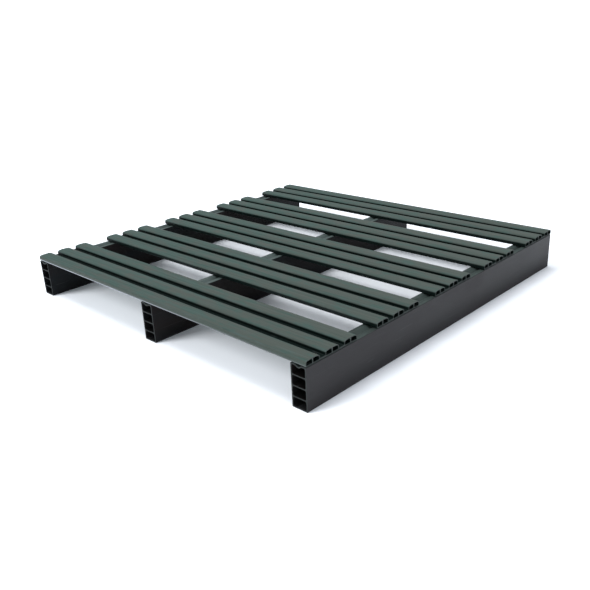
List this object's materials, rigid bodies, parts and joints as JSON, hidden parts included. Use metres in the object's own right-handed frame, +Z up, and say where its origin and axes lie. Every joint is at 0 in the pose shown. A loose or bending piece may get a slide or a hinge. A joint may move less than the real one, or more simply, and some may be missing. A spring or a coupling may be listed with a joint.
{
  "type": "plastic pallet",
  "caption": "Flat square pallet of hollow plastic profiles: ribbed deck boards screwed across upright chambered stringers, open underneath for forks.",
  "frame": {"origin": "on the floor, under the middle of the pallet", "axes": "+Z up through the deck; X runs along the deck boards; Y runs along the stringers, from the front end (-Y) to the back end (+Y)"},
  "size_m": [1.1, 1.1, 0.121],
  "materials": {
    "deck_plastic": "satin, extruded, dark grey-green",
    "stringer_plastic": "satin, extruded, charcoal",
    "screw_steel": "zinc plated",
    "pad_rubber": "matt black sheet"
  },
  "bodies": {
    "root": {"stringer_left": "stringer_plastic", "stringer_middle": "stringer_plastic", "stringer_right": "stringer_plastic", "deck_board_1": "deck_plastic", "deck_board_2": "deck_plastic", "deck_board_3": "deck_plastic", "deck_board_4": "deck_plastic", "deck_board_5": "deck_plastic", "pad_board_1_left": "pad_rubber", "pad_board_1_middle": "pad_rubber", "pad_board_1_right": "pad_rubber", "pad_board_2_left": "pad_rubber", "pad_board_2_middle": "pad_rubber", "pad_board_2_right": "pad_rubber", "pad_board_3_left": "pad_rubber", "pad_board_3_middle": "pad_rubber", "pad_board_3_right": "pad_rubber", "pad_board_4_left": "pad_rubber", "pad_board_4_middle": "pad_rubber", "pad_board_4_right": "pad_rubber", "pad_board_5_left": "pad_rubber", "pad_board_5_middle": "pad_rubber", "pad_board_5_right": "pad_rubber", "screws_board_1_left": "screw_steel", "screws_board_1_middle": "screw_steel", "screws_board_1_right": "screw_steel", "screws_board_2_left": "screw_steel", "screws_board_2_middle": "screw_steel", "screws_board_2_right": "screw_steel", "screws_board_3_left": "screw_steel", "screws_board_3_middle": "screw_steel", "screws_board_3_right": "screw_steel", "screws_board_4_left": "screw_steel", "screws_board_4_middle": "screw_steel", "screws_board_4_right": "screw_steel", "screws_board_5_left": "screw_steel", "screws_board_5_middle": "screw_steel", "screws_board_5_right": "screw_steel"}
  },
  "joints": []
}
